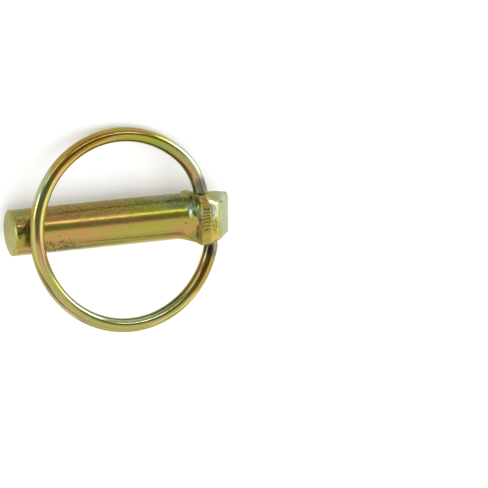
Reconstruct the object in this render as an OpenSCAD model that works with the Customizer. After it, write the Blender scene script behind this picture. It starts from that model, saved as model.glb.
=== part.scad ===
// Lynch pin: a round shank with a collar and a faceted head, and a spring-wire ring that swings in the head.
// Units: mm. Origin: on the shank's axis, where the plain round shank ends and the flare to the head starts.
// +X: from the tip towards the head, along the shank. +Z: up, with the pin lying as it comes to rest, on its
// collar, its tip and the ring's edge. The shapes are written with x = 0 at the collar's face and the ring on
// the +Z side, and moved along X and rolled about it at the end.

/* [Shank] */
// Diameter of the shank, the size that the hole in the machine is drilled for
shank_d = 11.1; // [6:0.1:16]
// Length of the shank from its tip to the head
shank_l = 44.4; // [30:0.1:70]
// Radius that breaks the edge of the tip
tip_round = 0.5; // [0.2:0.1:2]
// Length of the lead at the tip, where the shank is a little thinner
lead_l = 7.5; // [4:0.5:12]
// Radius that the lead takes off at the tip
lead_in = 0.05; // [0.02:0.01:0.2]

/* [Collar] */
// Height above the shank of the collar that stops the pin in its hole
collar_h = 0.55; // [0.3:0.05:1.2]
// Distance of the collar's crest from the end of the shank
collar_x = 0.6; // [0.3:0.1:2]
// Radius of the collar's round rim
collar_round = 0.7; // [0.5:0.1:2]
// Radius of the fillet between the shank and the collar
collar_fillet = 0.3; // [0.2:0.05:1]
// Length of the taper on the shank in front of the head's -Y side
flare_l = 2.6; // [1:0.1:5]
// Radius that the draft adds to the shank along the taper
draft = 0.05; // [0.02:0.01:0.2]

/* [Head] */
// Distance from the end of the shank to the head's flat band
head_x = 2.0; // [1:0.1:5]
// Length of the slope in front of the band, from the collar up to it
rise_l = 0.9; // [0.2:0.1:2]
// Length of the head from the band's front edge to the end
head_l = 8.9; // [6:0.1:16]
// Width of the head from side to side
head_w = 12.6; // [9:0.1:20]
// Height of the flat band above the shank's axis
band_h = 7.0; // [5:0.1:10]
// Length of the flat band, where the flash was trimmed
band_l = 2.7; // [1:0.1:6]
// Width of the flat band from the middle of the head to its +Y edge
band_plus = 4.7; // [2:0.1:6]
// Width of the flat band from the middle of the head to its -Y edge
band_minus = 3.5; // [2:0.1:6]
// Height of the +Y shoulder above the shank's axis, where the chamfer meets the side
shoulder_plus = 5.8; // [3:0.1:8]
// Height of the -Y shoulder
shoulder_minus = 6.3; // [3:0.1:8]
// Height at which the sides turn in towards the round back
waist_h = 3.0; // [0:0.1:4]
// Radius of the round back of the head, next to the collar
back_r = 5.85; // [4:0.05:8]
// Radius that the back loses towards the end of the head
back_in = 0.65; // [0.1:0.05:1]
// Length of the sloping facet behind the band
facet_l = 2.0; // [0.5:0.1:4]
// Height at which that facet meets the long slope to the end
facet_h = 6.1; // [3:0.1:8]
// Width of the facet's far edge from the middle of the head to its +Y and to its -Y corner
facet_plus = 3.75; // [2:0.05:6]
facet_minus = 4.4; // [2:0.05:6]
// Length of the two sides behind the facet, to where they narrow to an edge
flank_l = 1.7; // [0.5:0.1:3]
// Width of the flat on the end of the head, from side to side
end_w = 9.3; // [5:0.1:12]
// Thickness of the flat on the end of the head
end_t = 3.2; // [1:0.1:6]
// Radius on the edges of the head
head_round = 0.4; // [0.2:0.05:1]

/* [Cross hole] */
// Distance of the hole from the end of the shank, on the plane of symmetry
hole_x = 4.25; // [2:0.05:8]
// Height of the hole above the shank's axis
hole_z = 3.4; // [0:0.1:5]
// Angle of the hole in plan, away from square to the shank
hole_skew = 7.3; // [0:0.1:15]
// Angle by which the hole drops from one side of the head to the other
hole_drop = 10.0; // [0:0.1:20]

/* [Ring] */
// Diameter of the ring's wire
wire_d = 3.5; // [2:0.1:5.5]
// Inside diameter of the ring
ring_inner_d = 42.5; // [30:0.1:60]
// Radius of the tighter of the two bends next to the head, to the middle of the wire
bend_r = 2.9; // [2:0.1:12]
// Distance between the two bends, where the wire is straight
straight_l = 13.0; // [8:0.1:24]
// Gap between the wire's two ends inside the hole
end_gap = 1.0; // [0.2:0.1:6]
// Distance of the ring's centre along the hole from the middle of the straight wire
ring_shift = 1.7; // [0:0.05:3]
// Radial clearance of the wire in the hole
hole_play = 0.06; // [0.01:0.01:0.1]
// Clearance between the wire and the shank where the ring rests on it
rest_gap = 0.1; // [0:0.05:0.5]

/* [Hidden] */
shank_r = shank_d / 2;
collar_r = shank_r + collar_h;
wire_r = wire_d / 2;
hole_r = wire_r + hole_play;
ring_r = ring_inner_d / 2 + wire_r;

// The ring's centre from the hinge line, where the tighter bend meets the circle
near_s = straight_l / 2 + ring_shift;
ring_c = bend_r + sqrt(pow(ring_r - bend_r, 2) - pow(near_s, 2));

// The wider bend on the other side, and the angles that the circle leaves open for the two bends
far_s = straight_l / 2 - ring_shift;
wide_r = (pow(ring_r, 2) - pow(far_s, 2) - pow(ring_c, 2)) / (2 * (ring_r - ring_c));
bend_a = asin(near_s / (ring_r - bend_r));
wide_a = asin(far_s / (ring_r - wide_r));

// Space between two lengths of wire, and the turn at radius r that it takes
joint_gap = 0.05;
function joint_turn(r) = atan(joint_gap / r);

// Turn of the ring about the hole at which its far side rests on the shank
slope_a = sqrt(pow(sin(hole_drop), 2) + pow(cos(hole_skew) * cos(hole_drop), 2));
reach_a = (shank_r + wire_r + rest_gap) * slope_a - hole_z * cos(hole_skew) * cos(hole_drop);
cross_a = norm([cos(hole_skew), sin(hole_drop) * sin(hole_skew)]);
ring_lift = asin(reach_a / (ring_c + ring_r) / cross_a)
    + atan2(sin(hole_drop) * sin(hole_skew), cos(hole_skew));

// Hinge axis, direction from it to the ring's centre, and that centre, before the roll
hinge_a = [-sin(hole_skew) * cos(hole_drop), cos(hole_skew) * cos(hole_drop), -sin(hole_drop)];
lift_y = sin(ring_lift) * sin(hole_drop);
ring_v = [
    -cos(ring_lift) * cos(hole_skew) - lift_y * sin(hole_skew),
    -cos(ring_lift) * sin(hole_skew) + lift_y * cos(hole_skew),
    sin(ring_lift) * cos(hole_drop)
];
ring_m = [hole_x, 0, hole_z] + ring_c * ring_v + ring_shift * hinge_a;

// The collar's rim and the tip's edge as circles in the profile: the radii to their centres
rim_c = collar_r - collar_round;
tip_c = shank_r - lead_in - tip_round;

// The fillet's centre in front of the crest, and the point where it touches the rim
foot_r = shank_r + draft;
foot_dr = foot_r + collar_fillet - rim_c;
foot_dx = sqrt(pow(collar_round + collar_fillet, 2) - pow(foot_dr, 2));
touch = collar_round / (collar_round + collar_fillet);

// Tilt of the shank on the floor that the tip's edge and the collar's rim touch
lie_l = shank_l - tip_round + collar_x;
lie_tilt = asin((collar_round - tip_round) / norm([lie_l, tip_c - rim_c])) - atan2(tip_c - rim_c, lie_l);

// Roll about the shank at which the ring's edge touches that floor too
function floor_n(roll) = [sin(lie_tilt), -sin(roll) * cos(lie_tilt), cos(roll) * cos(lie_tilt)];
function ring_low(n) = ring_m * n - ring_r * norm([ring_v * n, hinge_a * n]) - wire_r;
function collar_low(n) = collar_x * sin(lie_tilt) - rim_c * cos(lie_tilt) - collar_round;
steep_roll = 40;
function solve_roll(lo, hi, n) = n == 0 ? lo
    : let (mid = (lo + hi) / 2, up = ring_low(floor_n(mid)) > collar_low(floor_n(mid)))
    solve_roll(up ? mid : lo, up ? hi : mid, n - 1);
lie_roll = solve_roll(0, steep_roll, 30);

// Stations of the head along X, and half its widths
band_x = head_x + band_l;
facet_x = band_x + facet_l;
flank_x = facet_x + flank_l;
end_x = head_x + head_l;
head_y = head_w / 2;
end_y = end_w / 2;
end_h = end_t / 2;

// Height of the end's slope at the station where the flanks stop, and small steps of the head's outline
flank_h = facet_h - (facet_h - end_h) * flank_l / (end_x - facet_x);
edge_in = 0.15;
slab = 0.02;

// A slab of the head, l long from x on; its outline's corners go from the top down, on the +Y and the -Y side
module slice(x, l, plus, minus, c = head_round) {
    n = len(minus) - 1;
    translate([x, 0, 0])
        rotate([90, 0, 90])
            linear_extrude(l)
                offset(r = c, $fn = 24)
                    offset(delta = -c)
                        polygon(concat(plus, [for (i = [n:-1:0]) [-minus[i][0], minus[i][1]]]));
}

// The forged head: its round back, rise, band, shoulders, waist, flanks and end, joined by flat facets
module head_block() {
    e = edge_in;
    y = head_y;
    w = waist_h;
    rim = [for (a = [80:-15:5]) (collar_r - e) * [cos(a), sin(a)]];
    flank_plus = [[end_y - 1, flank_h - 2 * e], [y - 2 * e, w - e]];
    flank_minus = [[end_y - 1, flank_h - 2 * e], [y - e, w + e]];
    hull() {
        translate([head_x - rise_l, 0, 0])
            rotate([0, 90, 0])
                cylinder(r1 = back_r, r2 = back_r - back_in, h = rise_l + facet_x - head_x, $fn = 48);
        slice(head_x - rise_l, slab, rim, rim);
        slice(head_x, band_l,
            [[band_plus - e, band_h - e], [y - 3 * e, shoulder_plus], [y - e, w]],
            [[band_minus, band_h - e], [y - e, shoulder_minus - e], [y - e, w]]);
        slice(head_x + e, band_l - 2 * e,
            [[band_plus, band_h], [y - 2 * e, shoulder_plus], [y, w]],
            [[band_minus, band_h], [y, shoulder_minus], [y, w]]);
        slice(facet_x, slab,
            [[facet_plus, facet_h], [y - e, w + e]],
            [[facet_minus, facet_h], [y - e, (facet_h + w) / 2], [y - e, w]]);
        slice(flank_x, slab, flank_plus, flank_minus);
        slice(end_x - 2 * e, 2 * e, [[end_y - 3 * e, end_h], [end_y, -end_h]], [[end_y, end_h], [end_y, -end_h]]);
    }
}

// The taper that joins the shank to the head's -Y side
module flare() {
    y = head_y - slab;
    u = shoulder_minus - 0.8;
    hull() {
        translate([-flare_l - 1.5, 0, 0])
            rotate([0, 90, 0])
                cylinder(r = shank_r - 0.5, h = 0.5, $fn = 48);
        slice(head_x + 0.5, slab, [[1, u], [1, waist_h]], [[y, u], [y, waist_h]]);
    }
}

// The shank and the collar, turned to one profile
module shank() {
    lead_r = shank_r - lead_in;
    foot_x = collar_x - foot_dx;
    rotate([0, 90, 0])
        rotate_extrude($fn = 128)
            difference() {
                union() {
                    polygon([
                        [0, -shank_l], [lead_r, -shank_l], [lead_r, tip_round + 0.1 - shank_l],
                        [shank_r, lead_l - shank_l], [shank_r, -flare_l],
                        [foot_r, foot_x], [rim_c + touch * foot_dr, collar_x - touch * foot_dx],
                        [rim_c + 0.1, collar_x], [rim_c, head_x + 1], [0, head_x + 1]
                    ]);
                    translate([rim_c, collar_x])
                        circle(r = collar_round, $fn = 64);
                }
                tip_cut();
                translate([foot_r + collar_fillet, foot_x])
                    circle(r = collar_fillet, $fn = 48);
            }
}

// What the rounding takes off the tip's edge
module tip_cut() {
    difference() {
        translate([tip_c, -shank_l - 1])
            square([tip_round + 1, tip_round + 1]);
        translate([tip_c, tip_round - shank_l])
            circle(r = tip_round, $fn = 48);
    }
}

// Rolls its children to the way the pin lies, with the end of the plain shank at the origin
module lay() {
    rotate([-lie_roll, 0, 0])
        translate([flare_l, 0, 0])
            children();
}

// Places its children at the hinge line, with +Y along the hole and the ring on the -X side
module at_hinge() {
    translate([hole_x, 0, hole_z])
        rotate([-hole_drop, 0, hole_skew])
            children();
}

module pin() {
    color([0.62, 0.56, 0.30])
        lay()
            difference() {
                union() {
                    shank();
                    flare();
                    head_block();
                }
                at_hinge()
                    rotate([90, 0, 0])
                        cylinder(r = hole_r, h = 3 * head_w, center = true, $fn = 64);
            }
}

// A ball that closes the joint between two lengths of wire, which stop short of each other inside it
module joint_ball() {
    sphere(r = wire_r + 0.004, $fn = 40);
}

// One bend of radius r through the angle a, on the side s of the ring, and its straight leg in the head
module bend(r, a, at_y, s) {
    j = joint_turn(r);
    translate([ring_c - r, s * at_y, 0]) {
        rotate([0, 0, s > 0 ? j : j - a])
            rotate_extrude(angle = a - 2 * j, $fn = 160)
                translate([r, 0])
                    circle(r = wire_r, $fn = 40);
        translate([r, 0, 0])
            joint_ball();
        translate([r * cos(a), s * r * sin(a), 0])
            joint_ball();
    }
    translate([ring_c, s * (at_y - joint_gap), 0])
        rotate([90 * s, 0, 0])
            cylinder(r = wire_r, h = (straight_l - end_gap) / 2 - joint_gap, $fn = 40);
}

// The ring lies in its own XY plane, centred on the origin, with its open side on +X
module ring_wire() {
    from = wide_a + joint_turn(ring_r);
    to = 360 - bend_a - joint_turn(ring_r);
    rotate([0, 0, from])
        rotate_extrude(angle = to - from, $fn = 160)
            translate([ring_r, 0])
                circle(r = wire_r, $fn = 40);
    bend(wide_r, wide_a, far_s, 1);
    bend(bend_r, bend_a, near_s, -1);
}

module ring() {
    color([0.60, 0.50, 0.22])
        lay()
            at_hinge()
                rotate([0, ring_lift, 0])
                    translate([-ring_c, ring_shift, 0])
                        ring_wire();
}

pin();
ring();
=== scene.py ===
# %% [markdown]
# # A lynch pin with a zinc finish
# A lynch pin locks a bigger pin or a stud on farm machinery. It is a short forged steel shank with a collar and a
# faceted head, and a ring of spring wire whose two ends turn in an oblique hole through the head.
# This lesson dresses a CAD model of it. The CAD model keeps the sizes and the hinge, and the pieces made here give
# it the soft edges of a forging, the marks of its making and the shifting colours of yellow-passivated zinc.

# %% Load the frame
import math
import bpy
import numpy as np
from mathutils import Matrix, Vector


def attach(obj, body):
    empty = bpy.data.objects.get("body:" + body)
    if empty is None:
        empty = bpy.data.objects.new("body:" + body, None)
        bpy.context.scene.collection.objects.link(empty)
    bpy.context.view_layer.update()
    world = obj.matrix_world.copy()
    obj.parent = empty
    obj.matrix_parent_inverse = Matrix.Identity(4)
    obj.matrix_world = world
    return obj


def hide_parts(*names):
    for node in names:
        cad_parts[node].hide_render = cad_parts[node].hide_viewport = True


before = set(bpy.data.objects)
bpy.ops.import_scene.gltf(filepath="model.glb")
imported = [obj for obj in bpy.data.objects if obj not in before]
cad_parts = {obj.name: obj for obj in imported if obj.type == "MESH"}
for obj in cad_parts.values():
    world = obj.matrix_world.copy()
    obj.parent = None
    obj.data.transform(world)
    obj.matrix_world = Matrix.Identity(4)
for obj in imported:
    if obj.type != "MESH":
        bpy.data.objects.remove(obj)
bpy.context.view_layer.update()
MM = 0.001

# %% [markdown]
# ## The sizes that the surfaces need
# The CAD model gives the pieces, but a surface worked out from a formula needs the sizes themselves. They are the
# same named values as in the part's own source, in millimetres, with x = 0 at the end of the shank, +X towards
# the end of the head and +Z on the ring's side. One function then lays everything on its side, as the pin rests.

# %% Sizes of the pin
SHANK_R, SHANK_L, TIP_ROUND = 5.55, 44.4, 0.5
LEAD_L, LEAD_IN = 7.5, 0.05
COLLAR_H, COLLAR_X, COLLAR_ROUND = 0.55, 0.6, 0.7
COLLAR_R = SHANK_R + COLLAR_H
FLARE_L = 2.6
HEAD_X, RISE_L, HEAD_L, HEAD_Y = 2.0, 0.9, 8.9, 6.3
BAND_H, BAND_L, BAND_PLUS, BAND_MINUS = 7.0, 2.7, 4.7, 3.5
SHOULDER_PLUS, SHOULDER_MINUS, WAIST_H = 5.8, 6.3, 3.0
BACK_R, BACK_IN = 5.85, 0.65
FACET_L, FACET_H, FACET_PLUS, FACET_MINUS = 2.0, 6.1, 3.75, 4.4
FLANK_L, END_Y, END_H = 1.7, 4.65, 1.6
RISE_X = HEAD_X - RISE_L
BAND_X = HEAD_X + BAND_L
FACET_X = BAND_X + FACET_L
FLANK_X = FACET_X + FLANK_L
END_X = HEAD_X + HEAD_L
print("head from", HEAD_X, "to", END_X, "mm")

# %% Sizes of the hinge and the ring
WIRE_R, RING_R, BEND_R, STRAIGHT_L, RING_SHIFT = 1.75, 23.0, 2.9, 13.0, 1.7
HOLE_X, HOLE_Z, HOLE_R, END_GAP = 4.25, 3.4, 1.81, 1.0
SKEW, DROP, LIFT, ROLL = [math.radians(a) for a in (7.3, 10.0, 6.52877, 13.5292)]


def turn(axis, angle):
    """Matrix that turns a column of points by the angle about the X, Y or Z axis."""
    return np.array(Matrix.Rotation(angle, 3, axis))


def lay(p):
    """Points of the pin's own frame, in mm, to the row frame in metres: moved along X, then rolled about it."""
    return (p + [FLARE_L, 0, 0]) @ turn("X", -ROLL).T * MM


def at_hinge(p):
    """Points given with +Y along the hole, to the pin's own frame: skewed and dropped as the hole is drilled."""
    return p @ (turn("Z", SKEW) @ turn("X", -DROP)).T + [HOLE_X, 0, HOLE_Z]


def at_ring(p):
    """Points of the ring's own plane to the pin's own frame: the ring hangs from the hinge line, on the -X side."""
    return at_hinge((p + [-RING_C, RING_SHIFT, 0]) @ turn("Y", LIFT).T)


near_s = STRAIGHT_L / 2 + RING_SHIFT
far_s = STRAIGHT_L / 2 - RING_SHIFT
RING_C = BEND_R + math.sqrt((RING_R - BEND_R) ** 2 - near_s ** 2)
WIDE_R = (RING_R ** 2 - far_s ** 2 - RING_C ** 2) / (2 * (RING_R - RING_C))
print("ring centre", np.round(lay(at_ring(np.zeros((1, 3))))[0] / MM, 3), "wide bend", round(WIDE_R, 2))

# %% [markdown]
# ## One way to make every mesh
# Every surface here is a grid of points: one parameter runs along the piece and the other runs around it. The grid
# closes on itself around the piece, and each end closes on one middle point, so the mesh is a closed skin.
# Working with whole arrays is fast, and the order of the corners makes all faces point outwards.

# %% Helper for closed grids
def skin(name, rows, first, last, uv=None):
    """A closed mesh from rows of points: each row is a ring of points, the ends fan to a first and a last point."""
    n, m = rows.shape[:2]
    points = np.concatenate([rows.reshape(-1, 3), [first, last]])
    i, j = np.meshgrid(np.arange(n - 1), np.arange(m), indexing="ij")
    k = (j + 1) % m
    quads = np.stack([i * m + j, i * m + k, (i + 1) * m + k, (i + 1) * m + j], -1).reshape(-1, 4)
    a = np.arange(m)
    b = (a + 1) % m
    start = np.stack([np.full(m, n * m), b, a], -1)
    end = np.stack([np.full(m, n * m + 1), (n - 1) * m + a, (n - 1) * m + b], -1)
    mesh = bpy.data.meshes.new(name)
    mesh.from_pydata(points, [], quads.tolist() + start.tolist() + end.tolist())
    if uv is not None:
        u, v = uv
        loops = np.empty(len(mesh.loops), dtype=np.int32)
        mesh.loops.foreach_get("vertex_index", loops)
        row = np.clip(loops // m, 0, n - 1)
        col = loops % m
        face = np.repeat(np.arange(len(mesh.polygons)), [len(p.vertices) for p in mesh.polygons])
        column = np.where(face < len(quads), face % m, (face - len(quads)) % m)
        wrap = (col == 0) & (column == m - 1)
        values = np.stack([u[row], v[col] + wrap], -1)
        mesh.uv_layers.new(name="along").data.foreach_set("uv", values.ravel())
    mesh.shade_smooth()
    mesh.update()
    piece = bpy.data.objects.new(name, mesh)
    bpy.context.scene.collection.objects.link(piece)
    print(name, len(mesh.vertices), "points,", sum(len(p.vertices) - 2 for p in mesh.polygons), "triangles")
    return piece


# %% [markdown]
# ## The ring
# The ring is hard drawn wire, bent to nearly a full circle. Two short bends turn its ends into the hole, and the
# bends differ, because the wire was sprung in from one side. A curve object with a round bevel could make it, but a
# profile carried along a path gives the same tube and also a map that follows the wire, which its colours need.

# %% Path of the wire
def arc(centre, radius, start, end, count):
    """Points of a circular arc in the ring's plane: centre + radius (cos t, sin t) for t from start to end."""
    t = np.linspace(start, end, count)
    return np.stack([centre[0] + radius * np.cos(t), centre[1] + radius * np.sin(t), 0 * t], -1)


def straight(a, b, count):
    """Points at even steps on the line from a to b in the ring's plane."""
    t = np.linspace(0, 1, count)[:, None]
    return np.hstack([np.array([a]) * (1 - t) + np.array([b]) * t, 0 * t])


bend_a = math.asin(near_s / (RING_R - BEND_R))
wide_a = math.asin(far_s / (RING_R - WIDE_R))
wire_path = np.concatenate([
    straight((RING_C, END_GAP / 2 - RING_SHIFT), (RING_C, far_s), 14),
    arc((RING_C - WIDE_R, far_s), WIDE_R, 0, wide_a, 40)[1:],
    arc((0, 0), RING_R, wide_a, 2 * math.pi - bend_a, 420)[1:],
    arc((RING_C - BEND_R, -near_s), BEND_R, -bend_a, 0, 16)[1:],
    straight((RING_C, -near_s), (RING_C, -END_GAP / 2 - RING_SHIFT), 14)[1:],
])
wire_s = np.concatenate([[0], np.cumsum(np.linalg.norm(np.diff(wire_path, axis=0), axis=1))])
print("wire length", round(wire_s[-1], 1), "mm in", len(wire_path), "steps")

# %% Skin of the wire
around = np.linspace(0, 2 * math.pi, 56, endpoint=False)
along = np.gradient(wire_path, wire_s, axis=0)
along /= np.linalg.norm(along, axis=1, keepdims=True)
side = np.stack([along[:, 1], -along[:, 0], 0 * wire_s], -1)
lift = np.array([0, 0, 1.0])


def wire_rows(path, outward, radius):
    """The wire's round section carried along the path: path + radius (outward cos a + up sin a)."""
    return path[:, None] + radius[:, None, None] * (outward[:, None] * np.cos(around)[None, :, None]
                                                    - lift * np.sin(around)[None, :, None])


cut = np.minimum(wire_s, wire_s[-1] - wire_s)
wire_radius = WIRE_R - 0.25 * np.clip(1 - cut / 0.25, 0, 1)
rows = lay(at_ring(wire_rows(wire_path, side, wire_radius)))
ends = lay(at_ring(wire_path[[0, -1]]))
ring = skin("spring_wire_ring", rows, ends[0], ends[1], uv=(wire_s / wire_s[-1], around / (2 * math.pi)))
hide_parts("ring")
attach(ring, "ring")

# %% [markdown]
# ## The forged pin
# The pin is forged hot between two dies, so its head has flat facets with soft edges, a round back, and a band
# across it where the flash was trimmed. Box modelling and bevels would take many steps, and every facet edge
# would get the same bevel. Here the skin is found with rays instead. From points on the axis, rays go out to all
# sides, and each ray stops at the nearest facet. A soft minimum instead of the plain one rounds every edge.

# %% Soft minimum and maximum
def soft_min(values, sharp):
    """Smallest of the values along the last axis, with corners rounded: -log(sum(exp(-sharp v))) / sharp."""
    low = values.min(-1, keepdims=True)
    return low[..., 0] - np.log(np.exp(-sharp * (values - low)).sum(-1)) / sharp


def soft_max(a, b, sharp):
    """The larger of two values, with a fillet where they cross: the soft minimum turned over."""
    return -soft_min(np.stack([-a, -b], -1), sharp)


# %% Facets from corners
def facets(corners):
    """Planes n . p = c of the convex shape with these corners: those through three corners with none beyond them."""
    p = np.array(corners, float)
    tri = np.array([(a, b, c) for a in range(len(p)) for b in range(a) for c in range(b)])
    a, b, c = p[tri[:, 0]], p[tri[:, 1]], p[tri[:, 2]]
    n = np.cross(b - a, c - a)
    size = np.linalg.norm(n, axis=1)
    n, a = n[size > 1e-6] / size[size > 1e-6, None], a[size > 1e-6]
    offset = (n * a).sum(1)
    out = n @ p.T - offset[:, None]
    flip = out.max(1) > 1e-6
    n[flip] *= -1
    offset[flip] *= -1
    out[flip] *= -1
    keep = out.max(1) < 1e-6
    planes = np.unique(np.round(np.hstack([n[keep], offset[keep, None]]), 5), axis=0)
    return planes[:, :3], planes[:, 3]


side_in = 0.15    # how far the sides lean in
deep = -8.0       # below the round back, which ends the head there
head_corners = [
    (HEAD_X, BAND_PLUS, BAND_H), (HEAD_X, HEAD_Y - 2 * side_in, SHOULDER_PLUS), (HEAD_X, HEAD_Y, WAIST_H),
    (HEAD_X, -BAND_MINUS, BAND_H), (HEAD_X, -HEAD_Y, SHOULDER_MINUS), (HEAD_X, HEAD_Y, deep),
    (HEAD_X, -HEAD_Y, deep),
    (BAND_X, BAND_PLUS, BAND_H), (BAND_X, HEAD_Y - 2 * side_in, SHOULDER_PLUS), (BAND_X, HEAD_Y, WAIST_H),
    (BAND_X, -BAND_MINUS, BAND_H), (BAND_X, -HEAD_Y, SHOULDER_MINUS), (BAND_X, HEAD_Y, deep),
    (BAND_X, -HEAD_Y, deep),
    (FACET_X, FACET_PLUS, FACET_H), (FACET_X, HEAD_Y - side_in, WAIST_H + side_in),
    (FACET_X, -FACET_MINUS, FACET_H), (FACET_X, side_in - HEAD_Y, (FACET_H + WAIST_H) / 2),
    (FLANK_X, HEAD_Y - 2 * side_in, WAIST_H - side_in), (FLANK_X, side_in - HEAD_Y, WAIST_H + side_in),
    (FLANK_X, HEAD_Y - 2 * side_in, deep), (FLANK_X, side_in - HEAD_Y, deep),
    (END_X, 3.4, END_H), (END_X, END_Y + 0.5, END_H - 0.25), (END_X, -END_Y, END_H), (END_X, END_Y + 0.5, -END_H),
    (END_X, END_Y, deep),
    (END_X, -END_Y, deep), (RISE_X, COLLAR_R - side_in, deep), (RISE_X, side_in - COLLAR_R, deep),
]
foot_r = COLLAR_R - side_in
for a in np.radians([80, 65, 50, 35, 20, 5]):
    head_corners += [(RISE_X, side * foot_r * math.sin(a), foot_r * math.cos(a)) for side in (-1, 1)]
head_n, head_c = facets(head_corners)
head_c = head_c[head_n[:, 0] > -0.999]
head_n = head_n[head_n[:, 0] > -0.999]
# two facets are trimmed off the end's corner on the +Y side: normal, offset
TRIMMED = [((0.45, 0.47, 0.76), 9.23), ((0.438, 0.753, 0.488), 8.85)]
head_n = np.vstack([head_n, [normal for normal, _ in TRIMMED]])
head_c = np.append(head_c, [offset for _, offset in TRIMMED])
print(len(head_corners), "corners give", len(head_c), "facets of the head")

flare_ring = [(-FLARE_L - 1.0, (SHANK_R - 0.5) * math.cos(a), (SHANK_R - 0.5) * math.sin(a))
              for a in np.linspace(0, 2 * math.pi, 20, endpoint=False)]
flare_x, flare_top = HEAD_X + 0.5, SHOULDER_MINUS - 0.8
flare_n, flare_c = facets(flare_ring + [
    (flare_x, -HEAD_Y, flare_top), (flare_x, -HEAD_Y, WAIST_H), (flare_x, 1, flare_top), (flare_x, 1, WAIST_H)])
print(len(flare_c), "facets of the flare")


# %% [markdown]
# ## Tool marks on the head
# The die that forges the head leaves fine ridges across the band, and trimming leaves a ragged edge beside it. Each
# mark is a furrow along a short straight line, or a burr where its depth is negative. They could be painted as bump,
# but these are deep enough to change the outline of a highlight, so they are cut into the skin itself.

# %% Furrows and burrs: from, to, width, depth
FURROWS = [((2.35, y, 7.0), (4.1, y + 0.12, 7.0), 0.2, 0.08) for y in (2.9, 2.1, 1.3, 0.5, -0.35, -1.25, -2.2)]
FURROWS += [
    ((4.8, 4.0, 6.9), (4.62, 1.6, 6.9), 0.16, 0.12), ((4.62, 1.6, 6.9), (4.85, -0.4, 6.8), 0.16, 0.12),
    ((4.85, -0.4, 6.8), (4.9, -2.9, 6.8), 0.16, 0.10), ((4.4, 4.0, 7.0), (4.15, 2.4, 7.0), 0.14, -0.05),
    ((4.2, 1.8, 7.0), (4.4, 0.4, 7.0), 0.14, -0.05), ((4.3, -0.3, 7.0), (4.45, -2.7, 6.9), 0.14, -0.05),
    ((2.15, 3.6, 6.95), (2.15, -0.6, 6.95), 0.12, -0.03),
    ((4.8, 4.0, 6.8), (5.8, 3.2, 6.5), 0.14, 0.06), ((5.8, 3.2, 6.5), (6.05, 1.4, 6.4), 0.14, 0.08),
    ((5.1, 1.5, 6.75), (5.75, 0.4, 6.55), 0.16, 0.07), ((5.75, 0.4, 6.55), (5.85, -2.2, 6.5), 0.14, 0.06),
    ((5.85, -2.2, 6.5), (5.2, -3.4, 6.7), 0.14, 0.07),
    ((7.07, 4.0, 5.45), (9.0, 3.6, 3.6), 0.15, 0.14), ((-1.7, -0.4, 5.5), (-1.6, -0.5, 5.5), 0.2, 0.07),
]


def marks(p):
    """Depth of the marks at points p: the sum of depth * exp(-(distance to the furrow's line / width)^2)."""
    depth = np.zeros(p.shape[:-1])
    for a, b, width, deepest in FURROWS:
        a, b = np.array(a), np.array(b)
        t = np.clip(((p - a) @ (b - a)) / ((b - a) @ (b - a)), 0, 1)
        distance = np.linalg.norm(p - a - t[..., None] * (b - a), axis=-1)
        depth += deepest * np.exp(-(distance / width) ** 2)
    return depth


print(len(FURROWS), "furrows and burrs, the deepest", max(f[3] for f in FURROWS), "mm")

# %% Rays and their lengths
FAR = 60.0       # longer than any ray inside the pin
ABSENT = 0.1     # a ray's length in a solid that isn't there, so that any other solid's length wins
UNDER_C, UNDER_SLOPE = 5.2, 0.857    # the slanted plane under the head's end


def reach(origin, ray, normals, offsets, sharp):
    """Length of each ray to the nearest plane in front of it: the soft minimum of (c - n . o) / (n . d)."""
    slope = ray @ normals.T
    height = offsets - origin @ normals.T
    away = np.where(slope > 1e-3, height / np.maximum(slope, 1e-3), FAR)
    return soft_min(np.minimum(away, FAR), sharp)


def back_reach(x, lean, angle):
    """Length to the head's round back: a cone, and beyond where its tangent meets the waist's corner, that tangent."""
    start, fall = HEAD_X - RISE_L, BACK_IN / (RISE_L + FACET_X - HEAD_X)
    radius = BACK_R + fall * start
    waist = math.atan2(HEAD_Y, -WAIST_H)
    free = waist - np.arccos(np.clip((BACK_R - fall * (x - start)) / math.hypot(HEAD_Y, WAIST_H), -1, 1))
    past = np.clip(np.abs(angle) - free, 0, 1.4)
    return (radius - fall * x) / np.maximum(np.sin(lean) * np.cos(past) + fall * np.cos(lean), 1e-3)


def round_reach(x, angle):
    """Radius of the turned parts at x: the shank, and the collar, which is a round rim or, towards -Y, a soft slope."""
    lead = LEAD_IN * np.clip(1 - (x + SHANK_L) / LEAD_L, 0, 1)
    rim = COLLAR_R - COLLAR_ROUND + np.sqrt(
        np.maximum(COLLAR_ROUND ** 2 - (x - np.clip(x, COLLAR_X, RISE_X)) ** 2, 0))
    slope = SHANK_R - 0.1 + (COLLAR_H + 0.1) * (0.5 - 0.5 * np.cos(math.pi * np.clip((x + 1.3) / 2.1, 0, 1)))
    soft = np.clip((-np.cos(angle) - 0.55 * np.sin(angle) - 0.2) / 0.4, 0, 1)
    return soft_max(SHANK_R - lead, rim * (1 - soft) + slope * soft, 9.0)


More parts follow.
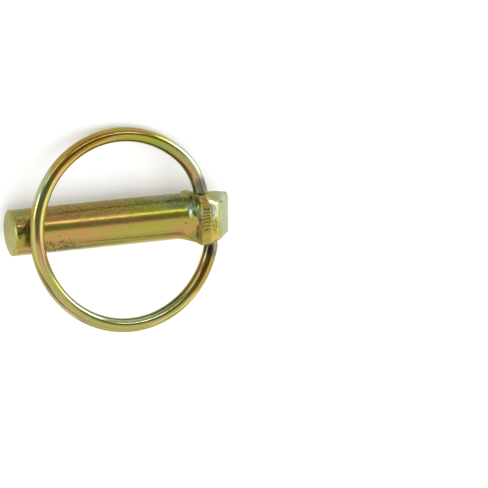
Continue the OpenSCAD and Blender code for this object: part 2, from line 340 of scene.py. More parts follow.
def pin_skin(x, lean, angle):
    """Points where rays from (x, 0, 0) leave the pin; lean is the ray's angle to +X and angle goes round the axis."""
    ray = np.stack([np.cos(lean), np.sin(lean) * np.sin(angle), -np.sin(lean) * np.cos(angle)], -1)
    origin = np.stack([x, 0 * x, 0 * x], -1)
    head = np.stack([
        reach(origin, ray, head_n, head_c, 16.0),
        np.where(x > RISE_X - 0.1, back_reach(x, lean, angle), ABSENT),
        (UNDER_C + UNDER_SLOPE * FACET_X - UNDER_SLOPE * x)
        / np.maximum(-ray[..., 2] + UNDER_SLOPE * ray[..., 0], 0.05),
    ], -1)
    head = soft_min(np.clip(head, ABSENT, FAR), 12.0)
    tip = (x + SHANK_L) / np.maximum(-np.cos(lean), 0.02)
    turned = soft_min(np.stack([np.minimum(tip, FAR), round_reach(x, angle) / np.maximum(np.sin(lean), 0.02)], -1), 8.0)
    flare = reach(origin, ray, flare_n, flare_c, 6.0)
    flare = np.where((x > -FLARE_L - 1) & (x < HEAD_X), flare, ABSENT)
    length = np.where(x < HEAD_X - 0.2, soft_max(turned, flare, 6.0), turned)
    length = np.where(lean > 1.6, turned, length)
    length = np.where(x > -6, soft_max(np.where(x > HEAD_X + 0.8, ABSENT, length), head, 6.0), length)
    length = length - marks(origin + length[..., None] * ray)
    return origin + length[..., None] * ray


# %% Skin of the pin
quarter = math.pi / 2
station = [
    (np.full(26, 1.6 - SHANK_L), np.linspace(math.pi - 0.04, quarter, 26)),
    (np.linspace(1.6 - SHANK_L, -4.5, 36)[1:], np.full(35, quarter)),
    (np.linspace(-4.5, END_X - 4, 151)[1:], np.full(150, quarter)),
    (np.full(70, END_X - 4), np.linspace(quarter, 0.03, 70)),
]
path_x = np.concatenate([s[0] for s in station])
path_lean = np.concatenate([s[1] for s in station])
turn_t = np.linspace(0, 2 * math.pi, 340, endpoint=False)
turn_a = turn_t - math.pi - 0.5 * np.sin(turn_t)
X, A = np.meshgrid(path_x, turn_a, indexing="ij")
L = np.repeat(path_lean[:, None], len(turn_a), axis=1)
pin_rows = pin_skin(X, L, A)
print("pin grid", pin_rows.shape, "from", np.round(pin_rows.min((0, 1)), 2), "to", np.round(pin_rows.max((0, 1)), 2))
pin_ends = np.array([[-SHANK_L, 0, 0], [END_X, 0, 0]])
pin = skin("forged_pin", lay(pin_rows), *lay(pin_ends))

# %% [markdown]
# ## The mouths of the hole
# The hole is drilled after forging, askew to the shank. A Boolean modifier with a closed cylinder is the usual way
# to cut it. Here it doesn't open the hole and only marks its two mouths on the skin: the cylinder's circle runs
# the wrong way round, so its faces point inwards and it has no inside to take away. The wire fills both mouths, so
# the closed skin doesn't show while the ring is in. The result is kept as the pin's mesh, and no cylinder is left.

# %% Mark the mouths
bore_s = np.linspace(-12, 12, 3)
bore_path = np.stack([0 * bore_s, bore_s, 0 * bore_s], -1)
bore_a = np.linspace(0, 2 * math.pi, 96, endpoint=False)
bore_ring = np.stack([np.cos(bore_a), 0 * bore_a, np.sin(bore_a)], -1) * HOLE_R
bore_rows = lay(at_hinge(bore_path[:, None] + bore_ring))
cutter = skin("drill", bore_rows, *lay(at_hinge(bore_path[[0, -1]])))


def cut_with(piece, tool):
    """Takes the tool from the piece with a Boolean modifier and keeps the result as the piece's own mesh."""
    change = piece.modifiers.new("hole", "BOOLEAN")
    change.operation = "DIFFERENCE"
    change.solver = "EXACT"
    change.object = tool
    graph = bpy.context.evaluated_depsgraph_get()
    mesh = bpy.data.meshes.new_from_object(piece.evaluated_get(graph))
    piece.modifiers.remove(change)
    old = piece.data
    piece.data = mesh
    mesh.name = old.name
    bpy.data.meshes.remove(old)
    bpy.data.objects.remove(tool)


cut_with(pin, cutter)
print("pin with the mouths", len(pin.data.vertices), "points", len(pin.data.polygons), "faces")
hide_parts("pin")
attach(pin, "pin")

# %% [markdown]
# ## Floor
# The pin lies on a plain pale sheet. Close by the sheet is flat and it touches the resting pin, which leans by about
# a degree because its collar is a little thicker than its tip. Far away the sheet sweeps up on all sides, as paper
# does in a light tent, so that a low camera still sees it and the polished metal has something pale to mirror.

# %% Floor
tilt = math.asin((COLLAR_ROUND - TIP_ROUND) / math.hypot(SHANK_L - TIP_ROUND + COLLAR_X, 0.1)) \
    - math.atan2(0.1, SHANK_L - TIP_ROUND + COLLAR_X)
floor_at = (COLLAR_X + FLARE_L) * math.sin(tilt) - (COLLAR_R - COLLAR_ROUND) * math.cos(tilt) - COLLAR_ROUND


def sweep_up(radius):
    """Height of the sheet, in metres, at a distance from the middle: flat to 0.9 m, then rising as a parabola."""
    return 0.55 * np.clip(radius - 0.9, 0, None) ** 2


def sheet(name, radii, count):
    """A round sheet: circles of points (r cos t, r sin t, height of r), closed around and fanned to the middle."""
    t = np.linspace(0, 2 * math.pi, count, endpoint=False)
    rings = np.stack([radii[:, None] * np.cos(t), radii[:, None] * np.sin(t),
                      np.repeat(sweep_up(radii)[:, None], count, 1)], -1).reshape(-1, 3)
    rings = rings @ turn("Y", tilt).T + [0, 0, (floor_at - 0.01) * MM]
    i, j = np.meshgrid(np.arange(len(radii) - 1), np.arange(count), indexing="ij")
    k = (j + 1) % count
    quads = np.stack([i * count + j, (i + 1) * count + j, (i + 1) * count + k, i * count + k], -1).reshape(-1, 4)
    mesh = bpy.data.meshes.new(name)
    mesh.from_pydata(rings, [], quads.tolist() + [list(range(count))])
    mesh.shade_smooth()
    piece = bpy.data.objects.new(name, mesh)
    bpy.context.scene.collection.objects.link(piece)
    return piece


floor = sheet("floor", np.concatenate([[0.3, 0.6, 0.9], np.linspace(1.0, 2.4, 15)]), 96)
print("floor leans by", round(math.degrees(tilt), 2), "degrees,", round(floor_at, 2), "mm below the shank's axis")

# %% Floor's paper
paper = bpy.data.materials.new("pale_paper")
paper.use_nodes = True
paper_out = paper.node_tree.nodes["Principled BSDF"]
paper_out.inputs["Base Color"].default_value = (0.78, 0.78, 0.78, 1)
paper_out.inputs["Roughness"].default_value = 0.9
paper_out.inputs["Specular IOR Level"].default_value = 0.1
paper_out.inputs["Emission Color"].default_value = (1, 1, 1, 1)
rays = paper.node_tree.nodes.new("ShaderNodeLightPath")
seen = paper.node_tree.nodes.new("ShaderNodeMath")
seen.operation = "MAXIMUM"
lifted = paper.node_tree.nodes.new("ShaderNodeMath")
lifted.operation = "MULTIPLY"
lifted.inputs[1].default_value = 0.24
paper.node_tree.links.new(rays.outputs["Is Camera Ray"], seen.inputs[0])
paper.node_tree.links.new(rays.outputs["Is Glossy Ray"], seen.inputs[1])
paper.node_tree.links.new(seen.outputs[0], lifted.inputs[0])
paper.node_tree.links.new(lifted.outputs[0], paper_out.inputs["Emission Strength"])
floor.data.materials.append(paper)
print("paper's grey", paper_out.inputs["Base Color"].default_value[0])

# %% [markdown]
# ## Camera
# The camera looks down on the lying pin from about 54 degrees above the floor. It is given by its place and by the
# directions of its right and up, because three plain vectors are easier to check than three turns.

# %% Camera
eye = np.array([-226.76, 323.9, 584.5]) * MM
right = np.array([0.93394, 0.07633, 0.34917])
up = np.array([0.10036, 0.88162, -0.46116])
view = Matrix.Identity(4)
view.col[0][:3], view.col[1][:3], view.col[2][:3], view.col[3][:3] = right, up, np.cross(right, up), eye
camera = bpy.data.objects.new("camera", bpy.data.cameras.new("camera"))
bpy.context.scene.collection.objects.link(camera)
camera.matrix_world = view
camera.data.sensor_width = 36
camera.data.lens = 2889.04 * 36 / 488
camera.data.clip_end = 10
bpy.context.scene.camera = camera
print("camera", round(float(np.linalg.norm(eye)), 3), "m from the pin, lens", round(camera.data.lens, 1), "mm")

# %% [markdown]
# ## Light
# Bright zinc is a mirror, so it shows its surroundings and little else. Photographers light such small parts with
# big pale sheets and leave gaps between them, which become the dark bands. Here one soft box hangs overhead and one
# stands in front, with a pale wall on either side and a smaller box high on the right. A narrow strip behind draws
# the thin highlight along the shank, with a lower one beside it, and three low cards edge the ring and the facets.
# The room itself is dim.

# %% Room and lamps
room = bpy.data.worlds.new("room")
bpy.context.scene.world = room
room.use_nodes = True
room.node_tree.nodes["Background"].inputs["Color"].default_value = (1, 1, 1, 1)
room.node_tree.nodes["Background"].inputs["Strength"].default_value = 0.32


def soft_box(name, place, wide, high, radiance):
    """A rectangular lamp that faces the pin; its power is radiance x area x pi, so radiance 1 looks white."""
    lamp = bpy.data.lights.new(name, "AREA")
    lamp.shape = "RECTANGLE"
    lamp.size, lamp.size_y = wide, high
    lamp.energy = radiance * wide * high * math.pi
    box = bpy.data.objects.new(name, lamp)
    box.location = place
    box.rotation_mode = "QUATERNION"
    box.rotation_quaternion = Vector(place).to_track_quat("Z", "Y")
    bpy.context.scene.collection.objects.link(box)
    print(name, "faces the pin from", place, "with", round(lamp.energy, 2), "W")


soft_box("overhead_box", (0.0, -0.22, 0.98), 1.6, 1.2, 1.2)
soft_box("front_box", (0.1, -0.86, 0.46), 1.3, 0.55, 1.1)
soft_box("left_wall", (-0.92, 0.0, 0.42), 0.8, 0.95, 1.5)
soft_box("right_wall", (0.84, -0.24, 0.42), 0.8, 0.8, 1.9)
soft_box("right_high", (0.71, 0.20, 0.66), 0.42, 0.40, 1.8)
soft_box("strip", (0.26, 0.74, 0.47), 0.6, 0.06, 9.5)
soft_box("low_strip", (-0.38, 0.80, 0.23), 0.4, 0.07, 6.0)
soft_box("right_card", (0.82, 0.48, 0.15), 0.5, 0.36, 6.0)
soft_box("left_card", (-0.86, 0.46, 0.16), 0.3, 0.3, 5.0)
soft_box("front_card", (-0.44, -0.88, 0.07), 0.4, 0.16, 5.0)

# %% [markdown]
# ## The finish
# The steel is plated with zinc and dipped in a yellow chromate bath. The bath leaves a clear film hundreds of times
# thinner than a hair, and like oil on water it takes its colour from its thickness: brown and gold where it is thin,
# then copper pink, yellow, green, and teal where it is thickest. A painted picture could hold those colours, but one
# number, the thickness of the film, is closer to the real thing. Every surface works out that number from slow
# clouds, fine grain and a few soft patches, and one ramp turns it into a colour, so neighbouring tints always follow
# each other in the right order.

# %% Helpers for shader nodes
def node(tree, kind, sockets, **settings):
    """Adds a shader node: settings are its options, sockets its inputs, each a value or another node's output."""
    made = tree.nodes.new("ShaderNode" + kind)
    for name, value in settings.items():
        setattr(made, name, value)
    for name, value in sockets.items():
        if isinstance(value, bpy.types.NodeSocket):
            tree.links.new(value, made.inputs[name])
        else:
            made.inputs[name].default_value = value
    return made


def calc(tree, operation, a, b=0.0, c=0.0):
    """One step of arithmetic on up to three numbers, each a value or another node's output."""
    return node(tree, "Math", {0: a, 1: b, 2: c}, operation=operation).outputs[0]


def noise(tree, at, scale, detail=2.0, rough=0.5):
    """Noise between about -0.5 and 0.5 whose features are about 1 / scale wide."""
    cloud = node(tree, "TexNoise", {"Vector": at, "Scale": scale, "Detail": detail, "Roughness": rough})
    return calc(tree, "SUBTRACT", cloud.outputs[0], 0.5)


def patches(tree, at, rows):
    """Sum of soft patches: each row has an amount, a centre, a size along and across, and maybe a direction."""
    total = 0.0
    for amount, centre, size, *toward in rows:
        lean = Vector(toward[0] if toward else (1, 0, 0)).to_track_quat("X", "Z").to_euler()
        inside = node(tree, "Mapping", {"Vector": at, "Location": centre, "Rotation": lean, "Scale": size},
                      vector_type="TEXTURE")
        away = node(tree, "VectorMath", {0: inside.outputs[0]}, operation="LENGTH").outputs["Value"]
        soft = node(tree, "MapRange", {"Value": away, "From Min": 0.5, "To Min": 1.0, "To Max": 0.0},
                    interpolation_type="SMOOTHSTEP")
        total = calc(tree, "MULTIPLY_ADD", soft.outputs[0], amount, total)
    return total


def mix(tree, factor, a, b, how="MIX"):
    """Mixes two colours, each a value or another node's output."""
    return node(tree, "Mix", {0: factor, 6: a, 7: b}, data_type="RGBA", blend_type=how).outputs[2]


# %% Colours of the film
FILM = [(0.00, (0.22, 0.12, 0.015)), (0.15, (0.26, 0.16, 0.012)), (0.30, (0.28, 0.205, 0.015)),
        (0.42, (0.35, 0.18, 0.055)), (0.50, (0.31, 0.20, 0.045)), (0.58, (0.27, 0.22, 0.03)),
        (0.70, (0.24, 0.23, 0.010)), (0.82, (0.20, 0.24, 0.06)), (0.92, (0.17, 0.25, 0.14)),
        (1.00, (0.23, 0.26, 0.17))]


def film_colour(tree, thickness):
    """The film's tint from its thickness, 0 for the thinnest and 1 for the thickest."""
    ramp = node(tree, "ValToRGB", {0: thickness})
    stops = ramp.color_ramp.elements
    stops[0].position, stops[0].color = FILM[0][0], (*FILM[0][1], 1)
    stops[1].position, stops[1].color = FILM[-1][0], (*FILM[-1][1], 1)
    for place, tint in FILM[1:-1]:
        stops.new(place).color = (*tint, 1)
    return ramp.outputs[0]


def zinc(name, coat, coat_rough):
    """A plated metal: its sockets that are the same all over are set here, the rest is linked by its own cell."""
    material = bpy.data.materials.new(name)
    material.use_nodes = True
    surface = material.node_tree.nodes["Principled BSDF"]
    surface.inputs["Metallic"].default_value = 1.0
    surface.inputs["Specular Tint"].default_value = (1.0, 0.9, 0.55, 1)
    surface.inputs["Coat Weight"].default_value = coat
    surface.inputs["Coat Roughness"].default_value = coat_rough
    return material, material.node_tree, surface


# the same grey is also mixed in as painted highlight, on the pin and on the ring
BARE_ZINC_AND_GLINT = (0.395, 0.45, 0.33, 1)    # the grey where the film was rubbed away
DARKEST = 0.85                        # the largest share of its light that a place can lose


def shaded(tree, tint, shade):
    """Darkens a tint: tint x (1 - shade), where the shade ends at DARKEST so that no place turns black."""
    light = calc(tree, "SUBTRACT", 1.0, calc(tree, "MINIMUM", shade, DARKEST))
    grey = node(tree, "CombineColor", {0: light, 1: light, 2: light}).outputs[0]
    return mix(tree, 1.0, tint, grey, "MULTIPLY")


def plate(piece, material, height, rough):
    """Puts a finished material on a piece: the height, in mm, becomes bump, and the roughness goes in as it is."""
    tree = material.node_tree
    surface = tree.nodes["Principled BSDF"]
    bump = node(tree, "Bump", {"Height": calc(tree, "MULTIPLY", height, MM), "Strength": 1.0, "Distance": 1.0})
    tree.links.new(bump.outputs[0], surface.inputs["Normal"])
    tree.links.new(rough, surface.inputs["Roughness"])
    piece.data.materials.clear()
    piece.data.materials.append(material)
    print(material.name, "has", len(tree.nodes), "nodes")


print(len(FILM), "tints from the thinnest film to the thickest")

# %% [markdown]
# ## Zinc on the pin
# The pin's coordinates are turned back upright and counted in millimetres, so that a patch can be named by its place
# on the part. The bath drained unevenly: along the shank pink, green and gold follow each other, the flare is teal
# on top and brown below, and the end of the head is a pale green. The side that lay deepest in the bath is speckled.

# %% Film on the pin: each patch has an amount, a centre and a size
pin_zinc, tree, surface = zinc("pin_zinc", 0.4, 0.15)
objects = node(tree, "TexCoord", {}).outputs["Object"]
on_pin = node(tree, "Mapping", {"Vector": objects, "Location": (-FLARE_L, 0, 0), "Rotation": (ROLL, 0, 0),
                                "Scale": (1000, 1000, 1000)}).outputs[0]
drift = node(tree, "TexNoise", {"Vector": on_pin, "Scale": 0.7, "Detail": 3.0}).outputs["Color"]
drift = node(tree, "VectorMath", {0: drift, 1: (0.5, 0.5, 0.5)}, operation="SUBTRACT").outputs[0]
uneven = node(tree, "VectorMath", {0: drift, 1: (2.4, 1.8, 1.8), 2: on_pin}, operation="MULTIPLY_ADD").outputs[0]
clouds = noise(tree, on_pin, 0.35, 3.0)
speckle = node(tree, "MapRange", {"Value": noise(tree, on_pin, 2.4, 2.0, 0.6), "From Min": -0.10, "From Max": 0.10,
                                  "To Min": -0.5, "To Max": 0.5}, interpolation_type="SMOOTHSTEP").outputs[0]
SPECKLED = [(1.0, (-18, 6, 1), (26, 4.5, 7)), (1.3, (-34, -4.0, 3.8), (9.5, 3.0, 3.2)), (0.5, (-44, 0, 0), (4, 7, 7)),
            (0.6, (3.6, 0, 7), (4, 5, 2)), (0.5, (-1, 5, 3), (4, 4, 4))]
speckled = patches(tree, on_pin, SPECKLED)
SHANK_FILM = [
    (-0.12, (-34, 0, 3), (17.5, 9, 9)), (-0.12, (-18.5, 4.6, 3.2), (5.5, 3.4, 3.5)),
    (-0.12, (-16, 1.2, 5.4), (11, 1.1, 1.2)), (0.14, (-34, 1.6, 5.3), (7, 1.3, 1.5)),
    (-0.13, (-2.6, -2.6, 5.0), (3.4, 3.2, 3)), (0.12, (-8, 4.8, 3.2), (11, 3.4, 4)),
    (0.10, (-4.5, 4.8, 3), (4, 3, 4)), (0.06, (-4, 2.6, 4.9), (7, 1.6, 1.6)),
    (0.10, (-21.5, -4.4, 3.6), (6, 2.6, 3)), (0.05, (-13, -1.5, 5.2), (9, 3, 3)),
    (0.30, (-31, -4.8, 3.0), (10, 1.6, 2.5)), (0.45, (-36, -5.8, 0.5), (9, 1.6, 3)),
]
TIP_FILM = [
    (0.17, (-44.6, 0, 0), (0.9, 7.5, 7.5)), (0.30, (-42.3, 5.2, 2.0), (2.6, 1.2, 2.2)),
    (0.22, (-44.3, 1.0, 5.0), (0.8, 5.0, 1.8)), (0.18, (-43.2, -0.6, 5.3), (1.0, 2.0, 1.2)),
    (0.25, (-42.6, -4.6, 3.4), (2.6, 1.0, 1.4)), (0.12, (-41.2, 4.2, 3.3), (1.6, 1.2, 1.4)),
    (0.12, (-41.4, 0.8, 5.3), (1.8, 2.6, 1.4)),
]
HEAD_FILM = [
    (0.28, (0.3, 3.0, 5.2), (2.5, 2.6, 2.3)), (0.16, (1.5, 1.9, 6.3), (1.0, 2.0, 1.3)),
    (-0.10, (1.0, -1.6, 5.9), (1.1, 2.8, 1.4)), (-0.03, (3.1, -1.0, 7.0), (2.3, 5.0, 1.0)),
    (-0.14, (2.96, 4.95, 6.8), (1.0, 0.7, 0.7)), (0.10, (5.3, 2.2, 6.8), (1.1, 2.6, 0.9)),
    (0.36, (9.9, 0.0, 3.0), (3.9, 8.0, 4.6)), (0.28, (8.2, 5.6, 3.4), (4.2, 2.6, 3.6)),
    (-0.10, (6.0, -5.2, 5.9), (2.0, 1.4, 1.6)), (0.10, (7.0, -2.2, 5.6), (2.4, 4.6, 1.8)),
    (0.10, (5.0, -0.6, 6.8), (1.2, 4.0, 0.8)),
]
thickness = calc(tree, "MULTIPLY_ADD", clouds, 0.26, 0.585)
thickness = calc(tree, "MULTIPLY_ADD", calc(tree, "MULTIPLY", speckle, speckled), 0.22, thickness)
thickness = calc(tree, "ADD", thickness, patches(tree, uneven, SHANK_FILM + TIP_FILM + HEAD_FILM))
tint = film_colour(tree, thickness)
print("patches of film on the pin:", len(SHANK_FILM), len(TIP_FILM), len(HEAD_FILM))

# %% [markdown]
# ## Bare, dark and scratched places, with painted light
# Where the film was rubbed thin the zinc shows grey, as on the end of the tip and the end of the head. The same grey
# is painted on as highlights too, at the collar, along the band's left edge, at the ends of the chamfer and on a
# corner of the facets. Dirt, deeper film and painted shade darken the mouths of the hole, the band with its ridges
# and the foot of the collar, and painted shade darkens the rise, the facets, the upper and lower sides of the shank
# and the shank beside the ring near the tip. Painted highlights lighten the tip's edge and the end of the head. The
# table that shaped the furrows gives a thin line of painted shade for each furrow and a pale line of painted
# highlight for each burr. The pits and scratches are long or round patches too: they darken the colour and press
# the bump down.

# %% Wear and painted light of the pin
# bare grey where the film was rubbed thin, and painted highlights in the same grey: at the collar, along the band's
# left edge, at both ends of the chamfer and on the facets' corner on the +Y side
BARE_AND_GLINTS = [
    (0.12, (-44.6, 0, 0), (0.9, 8, 8)), (0.45, (10.9, 0, 1.4), (1.3, 8, 2.0)), (0.30, (9.0, 0, 4.0), (3.2, 8, 3.8)),
    (0.35, (7.4, 2.0, 5.8), (1.8, 4.5, 1.6)), (0.45, (8.2, 5.6, 3.2), (4.2, 2.4, 3.6)),
    (0.8, (5.5, 2.4, 6.7), (1.4, 2.8, 1.0)), (0.3, (-4, 5.8, 1), (8, 2.4, 3)), (1.0, (5.6, 4.3, 6.6), (2.0, 1.0, 1.0)),
    (0.5, (2.1, 2.4, 6.95), (0.3, 2.6, 0.4)), (0.6, (-0.1, 2.1, 5.3), (0.8, 1.3, 1.0)),
    (0.05, (-13, -2.5, 5.0), (10, 3, 3)), (0.6, (4.15, 5.2, 6.4), (0.7, 0.8, 0.7)),
    (0.4, (2.0, 5.4, 6.1), (0.6, 0.8, 0.7)),
]
# dirt and painted shade at the two mouths; painted shade on the shank's upper and lower sides, beside the ring near the
# tip, on the band, the rise, the collar and the facets; the rows with negative amounts are painted highlights on the
# tip's edge and the end of the head
DIRT_AND_PAINTED_LIGHT = [
    (0.35, (-2.4, 4.6, 3.2), (4.4, 2.6, 2.6)), (0.25, (-22, 5.4, 2), (26, 3.2, 4)),
    (0.40, (-41.0, 1.2, 5.3), (1.8, 5.0, 1.8)), (0.4, (-43.4, 0.8, 5.4), (0.8, 1.0, 0.7)),
    (0.25, (-42.6, 1.4, 5.2), (1.8, 2.4, 1.4)), (-0.8, (-44.3, 1.7, 5.0), (0.7, 1.6, 1.2)),
    (-0.45, (-44.3, -1.4, 5.0), (0.6, 2.6, 1.1)), (0.22, (3.1, -0.2, 7.0), (2.2, 4.2, 0.8)),
    (0.35, (3.1, 3.6, 7.0), (2.0, 1.6, 0.8)), (0.45, (1.75, -2.6, 6.0), (0.9, 4.6, 1.8)),
    (0.25, (0.6, -3.8, 5.4), (1.6, 1.6, 1.6)), (0.35, (5.6, -2.0, 6.6), (1.1, 2.8, 0.8)),
    (0.4, (1.0, 4.6, 4.4), (1.8, 2.4, 2.4)), (0.75, (3.5, 6.1, 2.2), (2.9, 1.5, 3.0)),
    (0.75, (5.0, -6.3, 4.5), (2.8, 1.3, 2.6)), (0.25, (8.2, 5.8, 4.0), (4.2, 2.0, 3.0)),
    (-0.15, (9.5, 0, 3.5), (2.4, 8, 3.4)), (0.20, (-32, -4.6, 3.2), (12, 1.6, 2.2)),
    (0.35, (-27, -4.1, 3.8), (17, 0.7, 0.9)), (0.5, (1.7, 1.4, 6.3), (0.9, 3.0, 1.3)),
    (0.45, (5.2, 2.4, 6.8), (1.0, 2.6, 0.9)),
]
SCRATCHES = [
    (0.8, (-44.4, 3.9, 1.6), (1.9, 0.14, 0.3), (0, -0.32, 0.95)), (0.6, (-43.9, 4.3, 3.4), (0.5, 0.25, 0.25)),
    (0.7, (-43.4, 2.4, 5.0), (0.8, 0.15, 0.3), (1, -0.6, 0.3)), (0.6, (-38.0, -2.4, 4.9), (0.5, 0.3, 0.3)),
    (0.6, (-33.8, -0.4, 5.5), (0.25, 0.3, 0.3)), (0.6, (-35.6, -2.6, 4.8), (0.3, 0.25, 0.3)),
    (0.6, (-31.2, -1.6, 5.3), (0.3, 0.35, 0.3)), (0.5, (-29.5, -3.2, 4.5), (0.6, 0.2, 0.3)),
    (0.45, (-1.7, -0.4, 5.5), (0.45, 0.3, 0.3), (1, -0.4, 0)), (0.5, (-4.0, -3.0, 4.7), (0.8, 0.16, 0.3)),
    (0.8, (8.0, 3.8, 4.5), (1.4, 0.16, 0.3), (1.93, -0.4, -1.85)),
]
PITTED = [(0.9, (-35, -3.3, 4.2), (8, 3.2, 3)), (0.4, (-43, 3, 3), (3, 4, 4))]
bare_and_glint = patches(tree, uneven, BARE_AND_GLINTS)
scratches = patches(tree, on_pin, SCRATCHES)
specks = node(tree, "TexVoronoi", {"Vector": uneven, "Scale": 1.5})
pits = node(tree, "MapRange", {"Value": specks.outputs["Distance"], "From Min": 0.30, "From Max": 0.44, "To Min": 1.0,
                               "To Max": 0.0}).outputs[0]
pits = calc(tree, "MULTIPLY", pits, patches(tree, on_pin, PITTED))
tint = mix(tree, calc(tree, "MINIMUM", bare_and_glint, 1.0), tint, BARE_ZINC_AND_GLINT)


def furrow_shade_line(a, b, width, depth):
    """Painted shade along one furrow, or a painted highlight along a burr: a patch on the line from a to b, a little
    wider than the furrow.
    """
    a, b = Vector(a), Vector(b)
    return (depth * 2, (a + b) / 2, ((b - a).length / 2 + width, 1.7 * width, 0.5), b - a)


# a thin line of painted shade along each furrow, and of painted highlight along each burr
lines = patches(tree, on_pin, [furrow_shade_line(*furrow) for furrow in FURROWS])
dents_and_pits = calc(tree, "MAXIMUM", scratches, pits)
# the shade holds painted shade and painted highlights, dirt, scratches, pits and the furrow lines
shade = calc(tree, "ADD", patches(tree, uneven, DIRT_AND_PAINTED_LIGHT), dents_and_pits)
shade = calc(tree, "ADD", shade, lines)
dappled = calc(tree, "MULTIPLY", speckle, speckled)
shade = calc(tree, "MULTIPLY_ADD", dappled, -0.55, shade)
tree.links.new(shaded(tree, tint, shade), surface.inputs["Base Color"])
print(len(DIRT_AND_PAINTED_LIGHT), "dark places,", len(SCRATCHES), "scratches and dents")

# %% [markdown]
# ## Gloss and bump of the pin
# A turned and plated shank is bright, but its skin keeps a fine grain from the forging, so highlights have soft,
# uneven edges. Four heights are added: grain about a quarter of a millimetre wide, slow dents a little over a
# millimetre wide, the speckle, and one low swell at the collar, which tilts the shading there. The scratches and
# pits go in with the opposite sign.

# %% Gloss and bump of the pin
grain = noise(tree, on_pin, 4.0, 3.0, 0.6)
dents = noise(tree, on_pin, 0.8, 1.0)
swell = patches(tree, on_pin, [(0.30, (1.1, 1.7, 5.5), (1.9, 2.9, 1.2))])
height = calc(tree, "MULTIPLY_ADD", dents, 0.02, calc(tree, "MULTIPLY", grain, 0.006))
height = calc(tree, "MULTIPLY_ADD", dappled, 0.008, height)
height = calc(tree, "MULTIPLY_ADD", dents_and_pits, -0.06, calc(tree, "ADD", height, swell))
rough = calc(tree, "MULTIPLY_ADD", speckled, 0.10, calc(tree, "MULTIPLY_ADD", clouds, 0.15, 0.25))
rough = calc(tree, "MULTIPLY_ADD", bare_and_glint, 0.12, rough)
plate(pin, pin_zinc, height, calc(tree, "MINIMUM", rough, 0.5))

# %% [markdown]
# ## Zinc on the ring
# Drawn wire is smoother than a forging, so the ring mirrors its surroundings more sharply. Its tints change along the
# wire and from its outer to its inner side. The map made with the wire gives both: unrolled, the wire is a straight
# rod, with its length in millimetres along Z, and the faint lines of the drawing die run along it.

# %% Film on the ring: amount, share of the length, share of a turn, half the length and width
ring_zinc, tree, surface = zinc("ring_zinc", 0.4, 0.08)
along_map = node(tree, "UVMap", {}, uv_map="along")
uv = node(tree, "SeparateXYZ", {0: along_map.outputs[0]})
round_a = calc(tree, "MULTIPLY", uv.outputs[1], 2 * math.pi)
WIRE_L = float(wire_s[-1])
rod = node(tree, "CombineXYZ", {0: calc(tree, "MULTIPLY", calc(tree, "COSINE", round_a), WIRE_R),
                                1: calc(tree, "MULTIPLY", calc(tree, "SINE", round_a), WIRE_R),
                                2: calc(tree, "MULTIPLY", uv.outputs[0], WIRE_L)}).outputs[0]


def on_wire(amount, share, side_turn, half_length, half_width):
    """A patch on the unrolled wire, at a share of its length and a part of a turn from its outer side."""
    t = 2 * math.pi * side_turn
    return (amount, (WIRE_R * math.cos(t), WIRE_R * math.sin(t), share * WIRE_L), (half_width, half_width, half_length))


RING_FILM = [on_wire(*row) for row in (
    (-0.14, 0.09, 0.64, 8, 2.0), (0.08, 0.14, 0.78, 10, 2.2), (0.10, 0.18, 0.60, 10, 1.4), (-0.05, 0.225, 0.90, 8, 2.2),
    (-0.48, 0.308, 0.78, 9.5, 2.4), (0.16, 0.31, 0.60, 8, 1.4), (-0.12, 0.36, 0.70, 4, 2.2), (0.16, 0.41, 0.87, 5, 2.2),
    (-0.14, 0.515, 0.72, 6, 2.2), (0.08, 0.575, 0.66, 8, 1.8), (0.30, 0.645, 0.60, 12, 1.8),
    (-0.06, 0.62, 0.92, 14, 1.8), (0.22, 0.76, 0.58, 14, 1.4), (-0.45, 0.905, 0.77, 8, 1.5),
    (-0.16, 0.92, 0.62, 8, 1.4),
)]
ring_clouds = noise(tree, rod, 0.25, 3.0)
wire_grain = noise(tree, rod, 2.5, 2.0)
thickness = calc(tree, "MULTIPLY_ADD", ring_clouds, 0.35, calc(tree, "MULTIPLY_ADD", wire_grain, 0.10, 0.60))
thickness = calc(tree, "ADD", thickness, patches(tree, rod, RING_FILM))
tint = film_colour(tree, thickness)
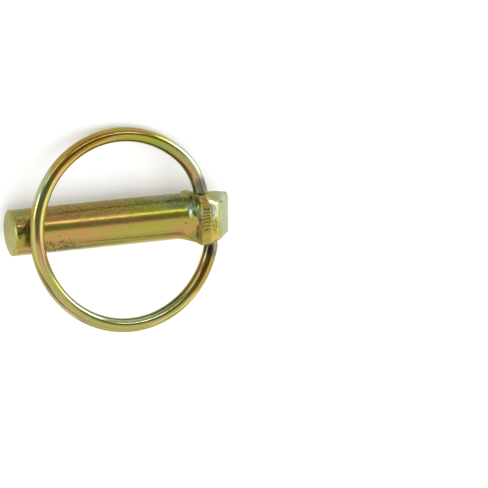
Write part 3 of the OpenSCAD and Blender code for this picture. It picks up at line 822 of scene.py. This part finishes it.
# bare grey: near the mouths, at 0.04 and 0.96 of the length, the film is rubbed off; the rows at 0.09, 0.15, 0.405,
# 0.65 and 0.90 of the length are painted highlights in the same grey
RING_BARE_AND_GLINTS = [on_wire(*row) for row in (
    (0.6, 0.09, 0.97, 11, 1.8), (0.7, 0.09, 0.86, 11, 1.4), (0.4, 0.15, 0.95, 9, 1.4), (0.4, 0.04, 0.80, 5, 4.0),
    (0.15, 0.61, 0.95, 8, 1.6), (0.5, 0.65, 0.58, 12, 1.6), (0.5, 0.405, 0.95, 6, 1.6), (0.5, 0.90, 0.97, 12, 1.5),
    (0.30, 0.96, 0.80, 5, 4.0), (0.3, 0.76, 0.60, 12, 1.8), (-0.14, 0.27, 0.80, 22, 6.0), (-0.14, 0.905, 0.77, 10, 1.6),
)]
# dirt and painted shade at the mouths, at 0.045 and 0.955 of the length; the other rows mostly dim the wire's
# reflections with painted shade
RING_DIRT_AND_PAINTED_SHADE = [on_wire(*row) for row in (
    (0.6, 0.045, 0.75, 4, 3.5), (0.5, 0.955, 0.75, 4, 3.5), (0.4, 0.95, 0.62, 4, 1.4), (0.15, 0.30, 0.78, 10, 1.2),
    (0.35, 0.82, 0.60, 8, 1.4), (0.3, 0.91, 0.78, 8, 1.5), (0.15, 0.10, 0.66, 14, 1.9), (0.35, 0.625, 0.96, 7, 1.4),
)]
tint = mix(tree, calc(tree, "ADD", patches(tree, rod, RING_BARE_AND_GLINTS), 0.12), tint, BARE_ZINC_AND_GLINT)
shade = calc(tree, "MULTIPLY_ADD", wire_grain, 0.3, patches(tree, rod, RING_DIRT_AND_PAINTED_SHADE))
tree.links.new(shaded(tree, tint, shade), surface.inputs["Base Color"])
print(len(RING_FILM), "patches of film along", round(WIRE_L, 1), "mm of wire")

# %% Gloss and bump of the ring
stretched = node(tree, "Mapping", {"Vector": rod, "Scale": (1.0, 1.0, 0.06)}).outputs[0]
die_lines = noise(tree, stretched, 3.0, 2.0)
fine = noise(tree, rod, 3.5, 2.0)
height = calc(tree, "MULTIPLY_ADD", die_lines, 0.006, calc(tree, "MULTIPLY", fine, 0.003))
plate(ring, ring_zinc, height, calc(tree, "MULTIPLY_ADD", ring_clouds, 0.12, 0.15))

# %% Look
bpy.context.scene.view_settings.view_transform = "Standard"
